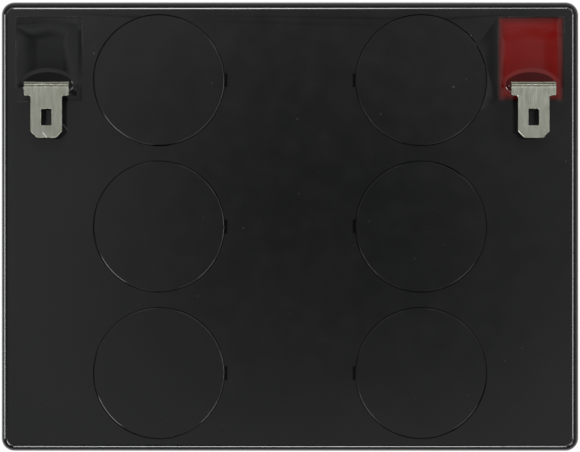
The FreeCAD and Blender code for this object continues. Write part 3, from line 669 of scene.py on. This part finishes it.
def make_bead(pole):
    """The bead: a roof of one slope round the leg, with a gentler foot, sunk into the resin."""
    node = f"terminal_seal_{pole}"
    low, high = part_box(node)
    leg_x, leg_y = leg_middle(pole)
    shift = POURS[pole][2]
    middle = Vector((leg_x + shift, leg_y))
    floor = dish_floor(pole)
    bm = bmesh.new()
    rings = [[] for _ in range(len(FOOT) + 1)]
    flank_start, flank_low = FOOT[-1]
    flank_rise = FLANK_SLOPE * (BEAD_BACK + RIDGE - flank_start)
    top = floor + SKIRT_RISE + flank_low + flank_rise
    for step in range(BEAD_STEPS):
        angle = math.tau * step / BEAD_STEPS
        half_depth = BEAD_BACK if math.sin(angle) > 0 else BEAD_FRONT
        edge = Vector((BEAD_HALF_WIDTH * math.cos(angle), half_depth * math.sin(angle)))
        outwards = Vector((math.cos(angle) / BEAD_HALF_WIDTH, math.sin(angle) / half_depth)).normalized()
        level = resin_height(pole, *(middle + edge), low, high, (leg_x, leg_y))
        for ring, (inset, rise) in zip(rings, FOOT):
            ring.append(bm.verts.new((*(middle + edge - outwards * inset), floor + level + rise)))
        ridge_x = edge.x * (1 - BEAD_BACK / BEAD_HALF_WIDTH)
        ridge = middle + Vector((ridge_x, edge.y * RIDGE_DEPTH - RIDGE))
        rings[-1].append(bm.verts.new((*ridge, top)))
    for lower, upper in zip(rings, rings[1:]):
        for step in range(BEAD_STEPS):
            after = (step + 1) % BEAD_STEPS
            bm.faces.new((lower[step], lower[after], upper[after], upper[step]))
    bm.faces.new(rings[0])
    bm.faces.new(rings[-1])
    bead = new_object(f"bead_{pole}", to_mesh(f"bead_{pole}", bm))
    shade(bead)
    bead.data.materials.append(FINISHES[f"{SLOT_OF_NODE[node]}_bead"])
    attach(bead, "root")


# The terminal tabs: cut flat with their edges broken, then bent along their centre line

STRIP = 0.8 * MM
BEND = 0.7 * MM
BLADE_LENGTH = 6.5 * MM
BLADE_HALF = 2.425 * MM
TIP_CHAMFER = 1.0 * MM
SHOULDER_ROUND = 0.25 * MM
NECK_ROUND = 0.3 * MM
HOLE_FROM_TIP = 1.9 * MM
HOLE_LENGTH = 2.55 * MM
HOLE_HALF = 0.8 * MM
HOLE_ROUND = 0.15 * MM
EYE_HALF = 1.9 * MM
# How much the upper bend's outer side is squared off
COINED = 0.55 * MM
# The broken edges: their width, and how far their middle lies in, as a share of it
BROKEN_EDGE = 0.035 * MM
BROKEN_EDGE_MIDDLE = 0.3
# Slices that the bends are made of, and a last cut beyond the upper one
LOWER_BEND_SLICES = 8
UPPER_BEND_SLICES = 24
LAST_CUT = 0.04 * MM
CUT_TOLERANCE = 0.0001 * MM
# A corner's point moves in by no more than its distance over this
SHARPEST_MITRE = 0.5


def arc(centre_x, centre_y, radius, start, end, steps=5):
    """Points of an arc, with its angles in degrees."""
    points = []
    for step in range(steps + 1):
        angle = math.radians(start + (end - start) * step / steps)
        points.append((centre_x + radius * math.cos(angle), centre_y + radius * math.sin(angle)))
    return points


def mirrored(points):
    """An outline closed by the mirror image of its right half about x = 0."""
    return points + [(-x, y) for x, y in reversed(points)]


def shifted(points, distance):
    """A closed outline moved inwards by a distance (its points run anticlockwise)."""
    moved = []
    for index, point in enumerate(points):
        before = Vector(points[index - 1])
        here = Vector(point)
        after = Vector(points[(index + 1) % len(points)])
        first = (here - before).normalized()
        second = (after - here).normalized()
        first_normal = Vector((-first.y, first.x))
        normal = first_normal + Vector((-second.y, second.x))
        normal.normalize()
        share = max(normal.dot(first_normal), SHARPEST_MITRE)
        moved.append(tuple(here + normal * (distance / share)))
    return moved


def fill_between(bm, loops):
    """Triangles over a flat area between closed loops of vertices."""
    edges = []
    for loop in loops:
        for index, vertex in enumerate(loop):
            after = loop[(index + 1) % len(loop)]
            edge = bm.edges.get((vertex, after)) or bm.edges.new((vertex, after))
            edges.append(edge)
    bmesh.ops.triangle_fill(bm, use_beauty=True, use_dissolve=False, edges=edges)


def plate(outline, holes, thickness, edge):
    """A flat plate about z = 0 with broken edges; the outline and the holes run anticlockwise."""
    bm = bmesh.new()
    half = thickness / 2
    middle = edge * BROKEN_EDGE_MIDDLE
    levels = [(edge, half), (middle, half - middle), (0, half - edge),
              (0, edge - half), (middle, middle - half), (edge, -half)]
    rings = {}
    for number, points in enumerate([outline, *holes]):
        side = 1 if number == 0 else -1
        for level, (inset, height) in enumerate(levels):
            rings[number, level] = [
                bm.verts.new((x, y, height)) for x, y in shifted(points, side * inset)]
        for level in range(len(levels) - 1):
            upper, lower = rings[number, level], rings[number, level + 1]
            for index in range(len(upper)):
                after = (index + 1) % len(upper)
                bm.faces.new((upper[index], upper[after], lower[after], lower[index]))
    for level in (0, len(levels) - 1):
        fill_between(bm, [rings[number, level] for number in range(1 + len(holes))])
    return bm


def slice_along(bm, cuts):
    """Cut the mesh across, so that it can bend there."""
    for cut in cuts:
        geometry = [*bm.verts, *bm.edges, *bm.faces]
        bmesh.ops.bisect_plane(
            bm, geom=geometry, dist=CUT_TOLERANCE, plane_co=(0, cut, 0), plane_no=(0, 1, 0))


def tab_outline(half_width, upper_bend, tip):
    """The strip laid flat, from its foot at y = 0 to the blade's tip."""
    shoulder = tip - BLADE_LENGTH
    right = [(half_width, 0), (half_width, upper_bend)]
    right += arc(half_width - SHOULDER_ROUND, shoulder - SHOULDER_ROUND, SHOULDER_ROUND, 0, 90)
    right += arc(BLADE_HALF + NECK_ROUND, shoulder + NECK_ROUND, NECK_ROUND, 270, 180)
    right += [(BLADE_HALF, tip - TIP_CHAMFER), (BLADE_HALF - TIP_CHAMFER, tip)]
    return mirrored(right)


def tab_hole(tip):
    """The blade's hole near its tip."""
    end = tip - HOLE_FROM_TIP
    start = end - HOLE_LENGTH
    middle_x = HOLE_HALF - HOLE_ROUND
    return mirrored(
        arc(middle_x, start + HOLE_ROUND, HOLE_ROUND, -90, 0, 3)
        + arc(middle_x, end - HOLE_ROUND, HOLE_ROUND, 0, 90, 3))


def make_tab(pole):
    """The strip runs along the flat pattern's y: foot, bend, leg, bend, blade."""
    node = f"terminal_tab_{pole}"
    low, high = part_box(node)
    middle_x, leg_y = leg_middle(pole)
    bend_length = math.pi / 2 * BEND
    foot_end = high.y - (leg_y + BEND)
    leg_start = foot_end + bend_length
    leg_end = leg_start + high.z - low.z - STRIP - 2 * BEND
    blade_start = leg_end + bend_length
    tip = blade_start + (leg_y - BEND) - low.y

    outline = tab_outline((high.x - low.x) / 2, leg_end, tip)
    post_low, post_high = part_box(f"terminal_post_{pole}")
    eye_middle = high.y - (post_low.y + post_high.y) / 2
    eye = mirrored([(EYE_HALF, eye_middle - EYE_HALF), (EYE_HALF, eye_middle + EYE_HALF)])
    bm = plate(outline, [tab_hole(tip), eye], STRIP, BROKEN_EDGE)
    cuts = [foot_end + bend_length * step / LOWER_BEND_SLICES for step in range(LOWER_BEND_SLICES + 1)]
    cuts += [leg_end + bend_length * step / UPPER_BEND_SLICES for step in range(UPPER_BEND_SLICES + 1)]
    slice_along(bm, [*cuts, blade_start + LAST_CUT])

    for vertex in bm.verts:
        x, along, out = vertex.co
        if along < foot_end:
            y, z = high.y - along, low.z + STRIP / 2 + out
        elif along < leg_start:
            angle = (along - foot_end) / BEND
            y = leg_y + BEND - (BEND - out) * math.sin(angle)
            z = low.z + STRIP / 2 + BEND - (BEND - out) * math.cos(angle)
        elif along < leg_end:
            y, z = leg_y + out, low.z + STRIP / 2 + BEND + along - leg_start
        elif along < blade_start:
            angle = (along - leg_end) / BEND
            square = COINED * max(out / (STRIP / 2), 0)
            y = leg_y - BEND + square + (BEND + out - square) * math.cos(angle)
            z = high.z - STRIP / 2 - BEND + square + (BEND + out - square) * math.sin(angle)
        else:
            y, z = leg_y - BEND - (along - blade_start), high.z - STRIP / 2 + out
        vertex.co = (middle_x + x, y, z)
    tab = new_object(f"tab_{pole}", to_mesh(f"tab_{pole}", bm))
    shade(tab, sharp_degrees=15, keep_flat=False)
    finish_piece(tab, node, FINISHES["tinned_brass"])


# The studio

FLOOR_HALF = 3.0
FLOOR_BELOW_BASE = 0.05 * MM
LIGHT_DISTANCE = 1500 * MM
# Name, heading and angle off the upright, width and height as seen from the lid, in degrees,
# and radiance
LIGHTS = [
    ("strip_back", 90, 20, 16, 10, 22.0),
    ("strip_front", 270, 52, 16, 7, 22.0),
    ("strip_right", 0, 30, 13, 8, 16.0),
    ("strip_left", 180, 69, 13, 12, 15.0),
    ("lamp_front_left", 220, 43, 20, 11, 13.0),
    ("lamp_front_right", 315, 43, 16, 10, 9.0),
    ("lamp_back_right", 40, 43, 10, 8, 5.0),
    ("corner_back_right", 45, 33, 40, 9, 2.8),
    ("corner_back_left", 135, 33, 40, 9, 2.8),
    ("corner_front_left", 225, 33, 40, 9, 2.8),
    ("corner_front_right", 315, 33, 40, 9, 2.8),
]
# Strength of the tent round the object against the slope of a direction off its dark opening, up
# to the steepest slope that it tells apart
TENT = [
    (0.02, 0.02), (0.06, 0.12), (0.085, 0.26), (0.11, 0.36), (0.14, 0.46),
    (0.2, 0.36), (0.58, 0.30), (0.75, 0.09), (1.6, 0.09), (1.9, 0.30),
]
STEEPEST = 4.0
# The opening's centre along X and Y, and how much faster than a slope it ends on each side
OPENING = {"X": (0.008, 1.25, 0.85), "Y": (-0.007, 1.35, 0.75)}
# How much brighter the tent gets towards the right and the back, and its least share of strength
TENT_LEAN = (0.6, 0.8, 0.0)
LEAST_LEAN = 0.2


def make_floor():
    bm = bmesh.new()
    sides = ((-1, -1), (1, -1), (1, 1), (-1, 1))
    bm.faces.new([bm.verts.new((x * FLOOR_HALF, y * FLOOR_HALF, -FLOOR_BELOW_BASE)) for x, y in sides])
    floor = new_object("floor", to_mesh("floor", bm))
    floor.data.materials.append(floor_finish())


def make_lights():
    """Strips and corner lamps that draw the lid's edge, and lamps that draw the covers' rims."""
    aim = Vector((0, 0, LID_TOP))
    for name, heading, tilt, width, height, radiance in LIGHTS:
        heading, tilt = math.radians(heading), math.radians(tilt)
        direction = Vector((
            math.sin(tilt) * math.cos(heading), math.sin(tilt) * math.sin(heading), math.cos(tilt)))
        data = bpy.data.lights.new(name, "AREA")
        data.shape = "RECTANGLE"
        data.size = LIGHT_DISTANCE * math.radians(width)
        data.size_y = LIGHT_DISTANCE * math.radians(height)
        data.energy = radiance * math.pi * data.size * data.size_y
        light = new_object(name, data)
        light.location = aim + direction * LIGHT_DISTANCE
        light.rotation_euler = (-direction).to_track_quat("-Z", "Y").to_euler()
        light.visible_camera = False


def slope_off_opening(tree, direction):
    """How far a direction is off the opening, as a slope, from its parts along X, Y and Z."""
    parts = tree.nodes.new("ShaderNodeSeparateXYZ")
    tree.links.new(direction, parts.inputs[0])
    rise = calculate(tree, "MAXIMUM", parts.outputs["Z"], 1 / STEEPEST)
    squares = []
    for axis, (centre, low_side, high_side) in OPENING.items():
        slope = calculate(tree, "DIVIDE", parts.outputs[axis], rise)
        slope = calculate(tree, "SUBTRACT", slope, centre)
        slope = calculate(
            tree, "MAXIMUM", calculate(tree, "MULTIPLY", slope, high_side),
            calculate(tree, "MULTIPLY", slope, -low_side))
        squares.append(calculate(tree, "MULTIPLY", slope, slope))
    return calculate(tree, "SQRT", calculate(tree, "ADD", *squares))


def make_world():
    """A pale tent with a dark opening overhead, and white where the camera sees it."""
    world = bpy.data.worlds.new("studio")
    SCENE.world = world
    world.use_nodes = True
    tree = world.node_tree
    background = tree.nodes["Background"]
    direction = tree.nodes.new("ShaderNodeTexCoord").outputs["Generated"]
    ramp = tree.nodes.new("ShaderNodeValToRGB")
    share = calculate(tree, "DIVIDE", slope_off_opening(tree, direction), STEEPEST)
    tree.links.new(share, ramp.inputs["Fac"])
    stops = ramp.color_ramp.elements
    while len(stops) < len(TENT):
        stops.new(1.0)
    for stop, (slope, strength) in zip(stops, TENT):
        stop.position = slope / STEEPEST
        stop.color = (strength, strength, strength, 1)
    lean = calculate(tree, "ADD", vector_step(tree, "DOT_PRODUCT", direction, TENT_LEAN, "Value"), 1)
    lit = tree.nodes.new("ShaderNodeVectorMath")
    lit.operation = "SCALE"
    tree.links.new(ramp.outputs["Color"], lit.inputs[0])
    tree.links.new(calculate(tree, "MAXIMUM", lean, LEAST_LEAN), lit.inputs["Scale"])
    path = tree.nodes.new("ShaderNodeLightPath")
    seen = mix_colour(tree, path.outputs["Is Camera Ray"], lit.outputs["Vector"], (1.0, 1.0, 1.0))
    tree.links.new(seen, background.inputs["Color"])
    background.inputs["Strength"].default_value = 1


def make_camera():
    data = bpy.data.cameras.new("camera")
    data.sensor_width = SENSOR_WIDTH
    data.lens = SENSOR_WIDTH * CAMERA_ABOVE_LID / PHOTO_WIDTH_ON_LID
    data.clip_start, data.clip_end = CAMERA_RANGE
    camera = new_object("camera", data)
    camera.location = (*CAMERA_PLACE, LID_TOP + CAMERA_ABOVE_LID)
    SCENE.camera = camera


make_lid()
make_container()
make_covers()
for pole in POLES:
    make_seal(pole)
    make_bead(pole)
    make_tab(pole)
for node, piece in NODES.items():
    piece.data.materials.clear()
    piece.data.materials.append(FINISHES[SLOT_OF_NODE[node]])

make_floor()
make_lights()
make_world()
make_camera()
SCENE.view_settings.view_transform = "Standard"
